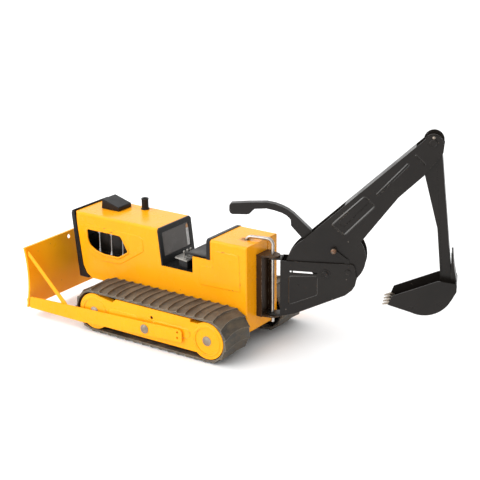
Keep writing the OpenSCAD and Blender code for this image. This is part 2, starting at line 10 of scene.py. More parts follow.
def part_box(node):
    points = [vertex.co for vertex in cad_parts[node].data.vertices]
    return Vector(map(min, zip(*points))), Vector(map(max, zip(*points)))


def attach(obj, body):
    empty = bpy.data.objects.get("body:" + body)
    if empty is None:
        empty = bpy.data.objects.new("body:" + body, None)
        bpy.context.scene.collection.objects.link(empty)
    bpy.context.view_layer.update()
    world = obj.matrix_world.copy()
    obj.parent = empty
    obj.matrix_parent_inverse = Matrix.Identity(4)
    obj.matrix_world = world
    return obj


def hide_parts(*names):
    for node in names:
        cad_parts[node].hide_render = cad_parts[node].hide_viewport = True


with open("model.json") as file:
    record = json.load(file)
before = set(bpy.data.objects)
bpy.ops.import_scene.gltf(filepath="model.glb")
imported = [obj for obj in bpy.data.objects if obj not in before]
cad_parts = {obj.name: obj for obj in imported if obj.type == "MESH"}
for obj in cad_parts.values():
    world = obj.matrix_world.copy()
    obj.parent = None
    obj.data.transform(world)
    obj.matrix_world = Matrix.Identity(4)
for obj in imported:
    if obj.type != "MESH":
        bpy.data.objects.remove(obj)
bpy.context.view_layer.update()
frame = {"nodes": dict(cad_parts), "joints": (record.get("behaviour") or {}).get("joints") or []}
nodes = frame["nodes"]
joints = {j["name"]: j for j in frame["joints"]}
scene = bpy.context.scene
scene.view_settings.view_transform = "Standard"
MM = 0.001

# The swung backhoe's own frame: straight back along its plates, to its left, and up.
ROD = Vector(joints["backhoe_swing"]["pos_m"])
BOOM_PIVOT = Vector(joints["boom_lift"]["pos_m"])
TIP = Vector(joints["dipper_swing"]["pos_m"])
ARM_LEFT = Vector(joints["boom_lift"]["axis"]).normalized()
ARM_BACK = Vector((0, 0, 1)).cross(ARM_LEFT)
BOOM_ALONG = (TIP - BOOM_PIVOT).normalized()
BOOM_UP = ARM_LEFT.cross(BOOM_ALONG)
SIDES = (("left", 1), ("right", -1))


def arm_place(back, left, height):
    """A point of the backhoe: millimetres behind the swing rod, to its left, and above the ground."""
    foot = Vector((ROD.x, ROD.y, 0))
    return foot + MM * (back * ARM_BACK + left * ARM_LEFT) + Vector((0, 0, MM * height))


def boom_place(along, up, left):
    """A point of the boom: millimetres along it from its pivot, above its centreline, and to its left."""
    return BOOM_PIVOT + MM * (along * BOOM_ALONG + up * BOOM_UP + left * ARM_LEFT)


# ---------------------------------------------------------------- node helpers


class Nodes:
    """A material's node tree with short ways to add and link nodes. Lengths in it are metres."""

    def __init__(self, name):
        self.material = bpy.data.materials.new(name)
        self.material.use_nodes = True
        self.tree = self.material.node_tree
        self.shader = self.tree.nodes["Principled BSDF"]
        self.place = self.add("ShaderNodeTexCoord").outputs["Object"]

    def add(self, kind, **inputs):
        node = self.tree.nodes.new(kind)
        for key, value in inputs.items():
            self.put(node.inputs[key.replace("_", " ")], value)
        return node

    def put(self, socket, value):
        if isinstance(value, bpy.types.NodeSocket):
            self.tree.links.new(value, socket)
        else:
            socket.default_value = value

    def noise(self, scale, detail=3.0, roughness=0.55, place=None):
        node = self.add("ShaderNodeTexNoise", Scale=scale, Detail=detail, Roughness=roughness)
        self.put(node.inputs["Vector"], place or self.place)
        return node.outputs["Fac"]

    def stretch(self, x, y, z):
        node = self.add("ShaderNodeMapping", Scale=(x, y, z))
        self.put(node.inputs["Vector"], self.place)
        return node.outputs["Vector"]

    def distance(self, point):
        """Distance in metres from a point of the object."""
        node = self.tree.nodes.new("ShaderNodeVectorMath")
        node.operation = "DISTANCE"
        self.put(node.inputs[0], self.place)
        node.inputs[1].default_value = point
        return node.outputs["Value"]

    def ramp(self, value, low, high, out_low=0.0, out_high=1.0):
        node = self.add("ShaderNodeMapRange")
        node.clamp = True
        self.put(node.inputs["Value"], value)
        self.put(node.inputs["From Min"], low)
        self.put(node.inputs["From Max"], high)
        self.put(node.inputs["To Min"], out_low)
        self.put(node.inputs["To Max"], out_high)
        return node.outputs["Result"]

    def math(self, operation, a, b=0.0):
        node = self.tree.nodes.new("ShaderNodeMath")
        node.operation = operation
        self.put(node.inputs[0], a)
        self.put(node.inputs[1], b)
        return node.outputs["Value"]

    def mix(self, factor, a, b):
        node = self.tree.nodes.new("ShaderNodeMix")
        node.data_type = "RGBA"
        self.put(node.inputs["Factor"], factor)
        self.put(node.inputs[6], a if isinstance(a, bpy.types.NodeSocket) else (*a, 1.0))
        self.put(node.inputs[7], b if isinstance(b, bpy.types.NodeSocket) else (*b, 1.0))
        return node.outputs[2]

    def edges(self, radius):
        """1 near a sharp edge, 0 on flat stretches."""
        bevel = self.tree.nodes.new("ShaderNodeBevel")
        bevel.samples = 6
        bevel.inputs["Radius"].default_value = radius
        flat = self.tree.nodes.new("ShaderNodeNewGeometry").outputs["Normal"]
        dot = self.tree.nodes.new("ShaderNodeVectorMath")
        dot.operation = "DOT_PRODUCT"
        self.put(dot.inputs[0], bevel.outputs["Normal"])
        self.put(dot.inputs[1], flat)
        return self.ramp(dot.outputs["Value"], 0.99, 0.86)

    def bump(self, height, strength, distance=0.0005, under=None):
        node = self.add("ShaderNodeBump", Strength=strength, Distance=distance)
        self.put(node.inputs["Height"], height)
        if under is not None:
            self.put(node.inputs["Normal"], under)
        return node.outputs["Normal"]

    def finish(self, **sockets):
        for key, value in sockets.items():
            self.put(self.shader.inputs[key.replace("_", " ")], value)
        return self.material


# ---------------------------------------------------------------- materials


RUST_RING = (0.0125, 0.004)       # the rust round a hole fades from the second distance out to the first


def enamel(name, deep, light, rough, chip, chip_amount, coat, ior, edge_radius=0.0011, rusty_at=None):
    """Sprayed enamel on sheet steel: slight colour drift, orange peel, and chips along the edges."""
    n = Nodes(name)
    drift = n.ramp(n.noise(9.0, 4.0), 0.3, 0.7)
    colour = n.mix(drift, deep, light)
    scuffs = n.ramp(n.noise(70.0, 6.0, 0.7, n.stretch(1.0, 1.0, 2.6)), 0.64, 0.78)
    colour = n.mix(n.math("MULTIPLY", scuffs, 0.16), colour, chip)
    ragged = n.ramp(n.noise(260.0, 5.0, 0.7), 0.50, 0.56)
    patches = n.ramp(n.noise(28.0, 3.0), 0.62 - chip_amount, 0.70 - chip_amount)
    worn = n.math("MULTIPLY", n.math("MULTIPLY", n.edges(edge_radius), ragged), patches)
    specks = n.ramp(n.noise(150.0, 2.0, 0.5), 0.755, 0.770)
    bare = n.math("MAXIMUM", worn, specks)
    if rusty_at is not None:
        near = n.ramp(n.distance(rusty_at), *RUST_RING)
        bare = n.math("MAXIMUM", bare, n.math("MULTIPLY", near, n.ramp(n.noise(330.0, 5.0), 0.36, 0.52)))
    colour = n.mix(bare, colour, chip)
    gloss = n.ramp(n.noise(45.0, 5.0), 0.3, 0.7, rough * 0.75, rough * 1.35)
    gloss = n.math("MAXIMUM", gloss, n.math("MULTIPLY", bare, 0.62))
    peel = n.bump(n.noise(520.0, 2.0), 0.05, 0.0004)
    waves = n.bump(n.noise(24.0, 2.0), 0.05, 0.002, peel)
    dents = n.bump(n.math("SUBTRACT", 1.0, bare), 0.35, 0.0002, waves)
    return n.finish(Base_Color=colour, Roughness=gloss, Normal=dents, Coat_Weight=coat,
                    Coat_Roughness=0.08, IOR=ior)


def moulded(name, colour, rough, grain=0.06):
    """Moulded black plastic: fine grain, dust and rubbed patches."""
    n = Nodes(name)
    dusty = n.ramp(n.noise(30.0, 6.0, 0.65), 0.45, 0.8, 0.0, 0.35)
    tint = n.mix(dusty, colour, tuple(min(1.0, 2.6 * c + 0.012) for c in colour))
    rubbed = n.math("MULTIPLY", n.edges(0.0009), n.ramp(n.noise(90.0, 4.0), 0.4, 0.6, 0.0, 0.5))
    tint = n.mix(rubbed, tint, (0.10, 0.10, 0.105))
    gloss = n.ramp(n.noise(55.0, 5.0), 0.3, 0.7, rough * 0.7, rough * 1.4)
    normal = n.bump(n.noise(900.0, 2.0), grain, 0.0003)
    return n.finish(Base_Color=tint, Roughness=gloss, Normal=normal, IOR=1.28)


def track_rubber(name):
    """Dusty black rubber, paler and tan where dirt lies and along the worn lug edges."""
    n = Nodes(name)
    base = n.mix(n.ramp(n.noise(18.0, 4.0), 0.3, 0.7), (0.040, 0.036, 0.031), (0.072, 0.063, 0.050))
    dust = n.ramp(n.noise(60.0, 8.0, 0.75, n.stretch(1.0, 0.45, 1.0)), 0.42, 0.66, 0.0, 0.85)
    colour = n.mix(dust, base, (0.165, 0.125, 0.078))
    rim = n.math("MULTIPLY", n.edges(0.0016), n.ramp(n.noise(120.0, 4.0), 0.35, 0.6, 0.25, 0.9))
    colour = n.mix(rim, colour, (0.330, 0.275, 0.205))
    fine = n.bump(n.noise(700.0, 4.0, 0.7), 0.35, 0.0005)
    lumps = n.bump(n.noise(60.0, 3.0), 0.25, 0.0012, fine)
    return n.finish(Base_Color=colour, Roughness=n.ramp(dust, 0.0, 0.85, 0.48, 0.85), Normal=lumps,
                    IOR=1.45)


def bare_metal(name, light, dark, rust_amount, rough, metallic=1.0, streak=(1.0, 1.0, 0.08)):
    """Plain plated or bare steel with streaks, tarnish and a little rust."""
    n = Nodes(name)
    streaks = n.noise(420.0, 3.0, 0.6, n.stretch(*streak))
    colour = n.mix(n.ramp(n.noise(60.0, 5.0), 0.3, 0.72), dark, light)
    rust = n.ramp(n.noise(95.0, 7.0, 0.75), 0.74 - rust_amount, 0.84 - rust_amount)
    rusty = n.mix(n.ramp(n.noise(300.0, 3.0), 0.3, 0.7), (0.055, 0.022, 0.010), (0.20, 0.085, 0.035))
    colour = n.mix(rust, colour, rusty)
    gloss = n.ramp(streaks, 0.3, 0.7, rough * 0.75, rough * 1.3)
    gloss = n.math("MAXIMUM", gloss, n.math("MULTIPLY", rust, 0.8))
    normal = n.bump(streaks, 0.08, 0.0003)
    normal = n.bump(n.noise(140.0, 5.0), 0.12, 0.0006, normal)
    return n.finish(Base_Color=colour, Roughness=gloss, Normal=normal,
                    Metallic=n.ramp(rust, 0.0, 1.0, metallic, 0.1))


# The pane strip's pale lower part and amber upper end are a painted reflection of the white surroundings
# and the yellow body.
AMBER_HEIGHTS = (0.1415, 0.1420)  # the strip turns from pale to amber between these heights


def painted_reflection_strip(name):
    """A pale strip with an amber upper end, scratched: a painted reflection of the white surroundings and
    of the yellow body.
    """
    n = Nodes(name)
    height = n.add("ShaderNodeSeparateXYZ")
    n.put(height.inputs[0], n.place)
    amber = n.ramp(height.outputs["Z"], *AMBER_HEIGHTS)
    colour = n.mix(amber, (0.62, 0.61, 0.60), (0.62, 0.27, 0.07))
    worn = n.ramp(n.noise(210.0, 6.0, 0.7, n.stretch(1.0, 1.0, 0.4)), 0.50, 0.62, 0.0, 0.8)
    return n.finish(Base_Color=n.mix(worn, colour, (0.20, 0.18, 0.16)),
                    Roughness=n.ramp(worn, 0, 1, 0.25, 0.5))


def plain_floor():
    """The nearly white paper that the toy stands on."""
    n = Nodes("studio_floor")
    return n.finish(Base_Color=n.mix(n.noise(1.5), (0.93, 0.93, 0.93), (0.95, 0.95, 0.95)), Roughness=0.75)


YELLOW_CHIP = (0.060, 0.030, 0.014)
DARK_CHIP = (0.115, 0.095, 0.078)
DEEP_YELLOW, LIGHT_YELLOW = (0.93, 0.345, 0.004), (0.96, 0.385, 0.006)
HOOK_HOLE = (-0.106, 0.0078, 0.158)    # where the bent rod's short end goes into the rear box
EVEN = (1, 1, 1)                       # no streaks

mats = {
    "body": enamel("yellow_body_enamel", DEEP_YELLOW, LIGHT_YELLOW, 0.24, YELLOW_CHIP, 0.08, 0.06, 1.24,
                   rusty_at=HOOK_HOLE),
    "yellow": enamel("yellow_enamel", DEEP_YELLOW, LIGHT_YELLOW, 0.26, YELLOW_CHIP, 0.12, 0.06, 1.24),
    "blade": enamel("rubbed_yellow_enamel", (0.95, 0.31, 0.004), (0.98, 0.42, 0.006), 0.34,
                    YELLOW_CHIP, 0.16, 0.05, 1.25),
    "black": enamel("black_enamel", (0.0070, 0.0056, 0.0046), (0.0140, 0.0112, 0.0092), 0.34,
                    DARK_CHIP, 0.12, 0.05, 1.30, 0.0009),
    # rubbed: a lighter black for the pressed edges of the boom and tower, partly wear and partly a painted
    # highlight along those edges.
    "rubbed": enamel("black_enamel_wear_and_painted_highlight", (0.011, 0.009, 0.0075), (0.026, 0.021, 0.017), 0.22,
                     (0.110, 0.085, 0.065), 0.12, 0.2, 1.5, 0.0008),
    # worn_black: its brown base is partly rust and partly a painted reflection of the orange body on the
    # bracket's side.
    "worn_black": enamel("worn_black_enamel_and_painted_reflection", (0.030, 0.016, 0.008), (0.070, 0.036, 0.015), 0.42,
                         (0.27, 0.22, 0.17), 0.30, 0.03, 1.3, 0.0012),
    "plastic": moulded("black_plastic", (0.0085, 0.0085, 0.0090), 0.32),
    "seat": moulded("seat_plastic", (0.013, 0.012, 0.011), 0.42, 0.16),
    # pane: dark glossy plastic lightened to a mid grey, a painted reflection of the white surroundings.
    "pane": moulded("glossy_panel_painted_reflection", (0.115, 0.105, 0.098), 0.16, 0.02),
    "rubber": track_rubber("track_rubber"),
    "rod": bare_metal("bare_steel", (0.60, 0.57, 0.53), (0.36, 0.33, 0.30), 0.09, 0.33),
    "rusty": bare_metal("rusty_steel", (0.34, 0.29, 0.24), (0.16, 0.12, 0.09), 0.24, 0.40),
    "teeth": bare_metal("rubbed_teeth", (0.44, 0.38, 0.31), (0.17, 0.14, 0.11), 0.12, 0.42),
    "zinc": bare_metal("zinc_caps", (0.42, 0.36, 0.30), (0.20, 0.165, 0.13), 0.16, 0.42, 0.9, EVEN),
    "bright": bare_metal("bright_rods", (0.36, 0.355, 0.35), (0.20, 0.195, 0.19), 0.0, 0.28),
    "silver": bare_metal("silver_console", (0.36, 0.345, 0.32), (0.17, 0.16, 0.145), 0.05, 0.42,
                         0.7, EVEN),
    # strip: a painted reflection on the pane's edge, pale below and amber at the top.
    "strip": painted_reflection_strip("painted_reflection_strip"),
}

NODE_LOOKS = {
    "body": ["body_shell"],
    "blade": ["blade"],
    "yellow": ["left_side_frame", "right_side_frame", "left_push_arm", "right_push_arm",
               "left_strut", "right_strut"],
    "black": ["tower", "boom", "boom_pin", "dipper_pin", "latch_lever", "control_handle", "dipper",
              "bucket", "chassis_plate", "engine_block"],
    # The swing bracket's brown is partly rust and partly a painted reflection of the orange body.
    "worn_black": ["swing_bracket"],
    "plastic": ["grille_frame", "grille_bars", "air_cleaner_cowl", "exhaust_stack", "cab_tub",
                "windshield_frame", "rear_trim", "front_left_wheel", "front_right_wheel",
                "rear_left_wheel", "rear_right_wheel"],
    "seat": ["seat"],
    "pane": ["windshield_pane"],
    "rubber": ["left_track", "right_track"],
    "rod": ["swing_pin", "front_axle", "rear_axle", "link_rod", "bucket_pin"],
    "rusty": ["latch_knob"],
    "teeth": ["bucket_teeth"],
    "zinc": ["axle_caps", "blade_pivot_pins"],
    "bright": ["engine_rods"],
    "silver": ["control_console", "console_levers"],
}

# Radius of the rounded edges, in millimetres, where it isn't the usual one.
EDGE = {"left_track": 0.7, "right_track": 0.7, "grille_frame": 1.0, "air_cleaner_cowl": 1.2, "seat": 1.2,
        "control_console": 1.0, "bucket_teeth": 0.35, "body_shell": 0.42, "tower": 0.45, "boom": 0.42}
USUAL_EDGE = 0.35


def soften(obj, radius_mm):
    """Rounds the sharp edges of a CAD node with modifiers, so that they catch the light."""
    for polygon in obj.data.polygons:
        polygon.use_smooth = True
    weld = obj.modifiers.new("weld", "WELD")
    weld.merge_threshold = 2e-6
    flat = obj.modifiers.new("flat", "DECIMATE")
    flat.decimate_type = "DISSOLVE"
    flat.angle_limit = math.radians(0.5)
    bevel = obj.modifiers.new("bevel", "BEVEL")
    bevel.width = radius_mm * MM
    bevel.segments = 2
    bevel.limit_method = "ANGLE"
    bevel.angle_limit = math.radians(32)
    bevel.use_clamp_overlap = True
    shade = obj.modifiers.new("shade", "WEIGHTED_NORMAL")
    shade.keep_sharp = False
    shade.weight = 60


for look, names in NODE_LOOKS.items():
    for name in names:
        nodes[name].data.materials.clear()
        nodes[name].data.materials.append(mats[look])
        soften(nodes[name], EDGE.get(name, USUAL_EDGE))

# ---------------------------------------------------------------- mesh pieces


def add_mesh(name, mesh, looks, body, smooth_angle):
    """An object of a finished mesh with its materials, riding on a body."""
    for look in looks:
        mesh.materials.append(mats[look])
    mesh.polygons.foreach_set("use_smooth", [True] * len(mesh.polygons))
    mesh.set_sharp_from_angle(angle=math.radians(smooth_angle))
    piece = bpy.data.objects.new(name, mesh)
    scene.collection.objects.link(piece)
    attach(piece, body)
    return piece


def make_piece(name, verts, faces, look, body, smooth_angle=35):
    """A piece from points in metres, with its faces turned outward."""
    mesh = bpy.data.meshes.new(name)
    mesh.from_pydata([tuple(v) for v in verts], [], faces)
    mesh.validate()
    work = bmesh.new()
    work.from_mesh(mesh)
    bmesh.ops.recalc_face_normals(work, faces=work.faces)
    work.to_mesh(mesh)
    work.free()
    return add_mesh(name, mesh, [look], body, smooth_angle)


def ring_faces(start, count, corners):
    """Faces of a closed ring of count sections, each with the same number of corners."""
    faces = []
    for k in range(count):
        a, b = start + corners * k, start + corners * ((k + 1) % count)
        for m in range(corners):
            n = (m + 1) % corners
            faces.append((a + m, a + n, b + n, b + m))
    return faces


def turned(name, place, axis, profile, look, body, segments=40):
    """A turned piece: profile is [(radius, height), ...] in millimetres along axis from place."""
    axis = Vector(axis).normalized()
    side = axis.orthogonal().normalized()
    other = axis.cross(side)
    verts, faces = [], []
    for radius, height in profile:
        for k in range(segments):
            turn = 2 * math.pi * k / segments
            out = math.cos(turn) * side + math.sin(turn) * other
            verts.append(Vector(place) + MM * (height * axis + radius * out))
    for ring in range(len(profile) - 1):
        for k in range(segments):
            a, b = ring * segments + k, ring * segments + (k + 1) % segments
            faces.append((a, b, b + segments, a + segments))
    faces.append(tuple(range(segments)))
    last = (len(profile) - 1) * segments
    faces.append(tuple(reversed(range(last, last + segments))))
    return make_piece(name, verts, faces, look, body)


def rivet_profile(radius, height, flange, lift, steps=7):
    """A rivet head: a flange lift thick, then a quarter round up to a small flat top."""
    rim = [(radius + flange, 0.0), (radius + flange, lift)]
    arc = [(radius * math.cos(a), lift + height * math.sin(a))
           for a in (0.5 * math.pi * k / steps for k in range(steps))]
    return rim + arc + [(0.12 * radius, lift + height)]


def smooth_step(t):
    """0 below 0, 1 above 1, and a smooth rise between."""
    t = max(0.0, min(1.0, t))
    return t * t * (3 - 2 * t)


LUGS = 39
LUG_H = 2.8
BELT_T = 2.4
BELT_SLACK = 4.0        # how far the belt hangs in front of the front wheel
LUG_BOW = 5.0           # how far a lug's middle is ahead of its ends
LUG_ROUND = 0.035       # the share of the belt's width in which a lug's end is rounded off
LUG_END_H = 0.80        # height of a lug's end, as a share of its middle's
END_DROP = 0.25         # how much lower the belt's outer edge is
CROSS_STEPS = 20
# One lug along the belt: (distance past its middle, share of its height). One flank is steep.
LUG_PROFILE = ((-3.6, 0.0), (-3.2, 0.10), (-2.7, 0.86), (-2.3, 1.0), (-1.8, 0.98), (-1.2, 0.80),
               (0.0, 0.58), (1.6, 0.38), (3.6, 0.20), (5.8, 0.07), (8.0, 0.0))


def make_track(side):
    """A rubber belt with bowed, scale-like lugs, as one closed ring of cross-sections."""
    low, high = (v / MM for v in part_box(side + "_track"))
    front = joints["front_left_wheel_spin"]["pos_m"][0] / MM + BELT_SLACK
    rear = joints["rear_left_wheel_spin"]["pos_m"][0] / MM
    run = front - rear
    axle_z = joints["front_left_wheel_spin"]["pos_m"][2] / MM
    belt_r = axle_z - LUG_H
    arc = math.pi * belt_r
    loop = 2 * (run + arc)
    pitch = loop / LUGS

    def loop_point(s, radius):
        """The x and z of a point s along the loop, from the front end of its lower run."""
        s %= loop
        if s < run:
            return front - s, axle_z - radius
        if s < run + arc:
            turn = (s - run) / belt_r
            return rear - radius * math.sin(turn), axle_z - radius * math.cos(turn)
        if s < 2 * run + arc:
            return s - run - arc + rear, axle_z + radius
        turn = (s - 2 * run - arc) / belt_r
        return front + radius * math.sin(turn), axle_z + radius * math.cos(turn)

    verts = []
    stations = [(i * pitch + u, share) for i in range(LUGS) for u, share in LUG_PROFILE]
    for s, share in stations:
        for k in range(CROSS_STEPS + 1):
            across = k / CROSS_STEPS
            bow = LUG_BOW * (1 - (2 * across - 1) ** 2)
            edge = smooth_step(min(across, 1 - across) / LUG_ROUND)
            height = LUG_H * share * (LUG_END_H + (1 - LUG_END_H) * edge) - END_DROP * (1 - edge)
            x, z = loop_point(s + bow, belt_r + height)
            verts.append(MM * Vector((x, low.y + across * (high.y - low.y), max(z, 0.0))))
        for y in (high.y, low.y):
            x, z = loop_point(s, belt_r - BELT_T)
            verts.append(MM * Vector((x, y, z)))
    faces = ring_faces(0, len(stations), CROSS_STEPS + 3)
    track = make_piece(side + "_track_belt", verts, faces, "rubber", "vehicle", 38)
    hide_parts(side + "_track")


CONSOLE_H = 15.0        # top of the console above its foot
CONSOLE_TILT = 0.10     # rise of its top per millimetre towards the front
RIDGES = 4              # short raised bars on its top
RIDGE_PITCH = 2.6
SILVER, DARK = 0, 1     # its materials


def make_console():
    """The driver's console: a silver moulded top with raised controls on a dark pedestal."""
    low, high = (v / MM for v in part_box("control_console"))
    mid_y = (low.y + high.y) / 2
    width = high.y - low.y
    work = bmesh.new()

    def block(x, y, z, bevel, look=SILVER, tilt=CONSOLE_TILT):
        """A bevelled block between two values of x, y and z."""
        made = bmesh.ops.create_cube(work, size=1.0)
        bmesh.ops.scale(work, vec=(x[1] - x[0], y[1] - y[0], z[1] - z[0]), verts=made["verts"])
        centre = ((x[0] + x[1]) / 2, (y[0] + y[1]) / 2, (z[0] + z[1]) / 2)
        bmesh.ops.translate(work, vec=centre, verts=made["verts"])
        for vert in made["verts"]:
            vert.co.z += tilt * (vert.co.x - low.x)
        edges = list({e for v in made["verts"] for e in v.link_edges})
        bevelled = bmesh.ops.bevel(work, geom=edges, offset=bevel, segments=2, affect="EDGES", profile=0.6)
        for face in {f for v in bevelled["verts"] for f in v.link_faces}:
            face.material_index = look

    top = low.z + CONSOLE_H
    sunk = top - 0.6
    block((low.x + 2, high.x - 5), (low.y + 3, high.y - 3), (low.z, top - 1.5), 0.8, DARK, 0.0)
    block((low.x, high.x), (low.y, high.y), (top - 2.6, top - 0.4), 0.7)
    for x in (low.x + 1.0, high.x - 2.4):
        block((x, x + 1.2), (low.y + 1, high.y - 1), (sunk, top + 0.5), 0.35)
    left_part = (mid_y + 0.12 * width, mid_y + 0.42 * width)
    right_part = (mid_y - 0.42 * width, mid_y - 0.05 * width)
    block((low.x + 4, low.x + 11), left_part, (sunk, top + 0.9), 0.5)
    block((low.x + 13, high.x - 4), right_part, (sunk, top + 0.7), 0.4, DARK)
    for k in range(RIDGES):
        y = mid_y - 0.38 * width + RIDGE_PITCH * k
        block((low.x + 4, low.x + 9), (y, y + RIDGE_PITCH / 2), (sunk, top + 0.6), 0.3)
    mesh = bpy.data.meshes.new("driver_console")
    bmesh.ops.scale(work, vec=(MM, MM, MM), verts=work.verts)
    bmesh.ops.recalc_face_normals(work, faces=work.faces)
    work.to_mesh(mesh)
    work.free()
    piece = add_mesh("driver_console", mesh, ["silver", "plastic"], "vehicle", 30)
    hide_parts("control_console")


# Size and place of the strip on the pane; the strip carries a painted reflection.
STRIP_W = 6.0
STRIP_GAP = 0.6         # from the pane's edge to the strip
STRIP_ENDS = 1.5        # from the pane's ends to the strip
STRIP_TAPER = 0.16      # the share of its length in which it narrows, at the top
STRIP_INSET = 2.6       # how much it narrows there on each side
STRIP_FACES = (-0.25, 0.2)    # its faces, ahead of the pane's rear face
STRIP_ROWS = 14
PANE_T = 1.3            # the pane's depth along x, which its lean adds to


def make_windshield_reflection_strip():
    """The pale strip at the right edge of the windshield's pane, a painted reflection of the white
    surroundings and the yellow body.
    """
    low, high = (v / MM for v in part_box("windshield_pane"))
    lean = (high.x - low.x - PANE_T) / (high.z - low.z)
    verts, faces = [], []
    y0 = low.y + STRIP_GAP
    y1 = y0 + STRIP_W
    for k in range(STRIP_ROWS + 1):
        share = k / STRIP_ROWS
        z = low.z + STRIP_ENDS + (high.z - low.z - 2 * STRIP_ENDS) * share
        inset = STRIP_INSET * smooth_step((share - 1 + STRIP_TAPER) / STRIP_TAPER) ** 2
        x = low.x + lean * (z - low.z)
        for depth in STRIP_FACES:
            verts.append(MM * Vector((x + depth, y0 + inset, z)))
            verts.append(MM * Vector((x + depth, y1 - inset, z)))
    for k in range(STRIP_ROWS):
        a, b = 4 * k, 4 * (k + 1)
        faces += [(a, a + 1, b + 1, b), (a + 3, a + 2, b + 2, b + 3),
                  (a + 2, a, b, b + 2), (a + 1, a + 3, b + 3, b + 1)]
    last = 4 * STRIP_ROWS
    faces += [(0, 2, 3, 1), (last, last + 1, last + 3, last + 2)]
    make_piece("windshield_reflection_strip", verts, faces, "strip", "vehicle")


# ---------------------------------------------------------------- pressed shapes


def rounded(corners, radius, steps=5):
    """A closed outline, anticlockwise as its corners are, with each corner rounded."""
    points = [Vector(c) for c in corners]
    out = []
    for k, corner in enumerate(points):
        before, after = points[k - 1], points[(k + 1) % len(points)]
        cut = min(radius, 0.4 * (before - corner).length, 0.4 * (after - corner).length)
        start = corner + cut * (before - corner).normalized()
        end = corner + cut * (after - corner).normalized()
        for step in range(steps + 1):
            t = step / steps
            out.append((1 - t) ** 2 * start + 2 * t * (1 - t) * corner + t * t * end)
    return out


def stadium(a, b, radius, steps=10):
    """A pair of round ends joined by straight sides, anticlockwise."""
    a, b = Vector(a), Vector(b)
    lean = math.atan2((b - a).y, (b - a).x)
    out = []
    for centre, start in ((b, lean - math.pi / 2), (a, lean + math.pi / 2)):
        for step in range(steps + 1):
            turn = start + math.pi * step / steps
            out.append(centre + radius * Vector((math.cos(turn), math.sin(turn))))
    return out


def circle(centre, radius, steps=48):
    """A circle, anticlockwise."""
    return [Vector(centre) + radius * Vector((math.cos(t), math.sin(t)))
            for t in (2 * math.pi * k / steps for k in range(steps))]


def outward(points, k):
    """The direction that leads straight out of an anticlockwise outline at its point k."""
    along = (points[(k + 1) % len(points)] - points[k - 1]).normalized()
    return Vector((along.y, -along.x))


SUNK = 0.08             # how deep the feet of pressed shapes lie in the sheet
CREST_IN = 0.1          # how far inside a raised panel's outline its crest is


def embossed(name, outlines, place, rise, look, body):
    """Sloped edges and beads of pressed shapes: each is a closed ring with a three-sided section.

    Each outline is (points, crest, outer, inner), the section's offsets outward from the points, and
    place(u, v, out) gives a point in metres."""
    verts, faces = [], []
    for points, crest, outer, inner in outlines:
        faces += ring_faces(len(verts), len(points), 3)
        for k, point in enumerate(points):
            for offset, lift in ((crest, rise), (outer, -SUNK), (inner, -SUNK)):
                u, v = point + offset * outward(points, k)
                verts.append(place(u, v, lift))
    return make_piece(name, verts, faces, look, body, 60)


def skirt(points, width):
    """The sloped edge of a raised panel."""
    return points, -CREST_IN, width, -CREST_IN


def bead(points, half_width):
    """A raised line."""
    return points, 0.0, half_width, -half_width


# The outer faces of the left-hand sheets, from the centreline of the toy or of the backhoe.
BODY_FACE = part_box("cab_tub")[1].y / MM + 1.2
FRAME_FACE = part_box("front_axle")[1].y / MM - 0.2
BOOM_FACE = 11.6
TOWER_FACE = 14.35

# Outlines in each sheet's own plane. On the body and the side frames: x and z.
WINDOW_PANEL = [(172, 139.5), (65, 139.5), (59, 135), (57, 118), (103, 89), (143, 88), (162, 97),
                (170, 112)]
REAR_PANEL = [(-70, 143), (-114, 143), (-116, 90), (-46, 88), (-46, 115), (-70, 117)]
WINDOW = [(166, 134.5), (100, 134.5), (85, 111), (105, 98.5), (134, 98.5), (149, 102), (161, 109),
          (165, 119)]
WHEEL = Vector(joints["front_left_wheel_spin"]["pos_m"]) / MM
FRAME_OUTLINES = [
    skirt(stadium((-66, 37), (-14, 37), 6.5), 2.2),
    skirt(stadium((27, 37), (66, 37), 6.5), 2.2),
    skirt(circle((WHEEL.x, WHEEL.z), 22), 1.8),
    skirt(circle((-WHEEL.x, WHEEL.z), 22), 1.8),
]
# On the tower: distance behind the swing rod, and height.
TOWER_PANEL = [(65.5, 88), (65.5, 116), (26, 114), (26, 71.5)]
# On the boom: distance along it from its pivot, and above its centreline.
BOOM_TRAY = [(62, 14), (122, 6.5), (124.5, 26), (63, 36.5)]
RAISED_BAR = stadium((76, 26.5), (118, 22), 5.0)
LONG_GROOVE = stadium((138, 14), (196, 8), 1.2)
TIP_GROOVE = stadium((213, 7), (211, -9), 0.9)
BOOM_OUTLINES = [bead(rounded(BOOM_TRAY, 4.0), 1.5), skirt(LONG_GROOVE, 1.2), skirt(TIP_GROOVE, 1.0),
                 skirt(RAISED_BAR, 0.8)]

LIP_FOOT = 0.7          # height of the raised panel that the window's lip stands on
LIP_LEAST = 0.15        # the lip's height along the window's top, as a share of its full height
LIP_TOP = 136.0         # the lip starts to rise at this height
LIP_RISE = 14.0         # and is full this far below
# The lip's section: (distance outside the window's outline, height above the panel).
LIP_SECTION = ((-1.0, 0.0), (-0.7, 0.9), (0.2, 1.4), (1.2, 1.3), (2.2, 0.7), (3.0, -0.1), (-1.0, -0.1))


def window_lip(side, sign):
    """The rolled lip that stands out round the lower part of a side window."""
    points = rounded(WINDOW, 4.0)
    verts = []
    for k, point in enumerate(points):
        fade = LIP_LEAST + (1 - LIP_LEAST) * smooth_step((LIP_TOP - point.y) / LIP_RISE)
        for offset, lift in LIP_SECTION:
            u, v = point + offset * outward(points, k)
            verts.append(MM * Vector((u, sign * (BODY_FACE + LIP_FOOT + fade * lift), v)))
    faces = ring_faces(0, len(points), len(LIP_SECTION))
    make_piece(side + "_window_lip", verts, faces, "body", "vehicle", 50)


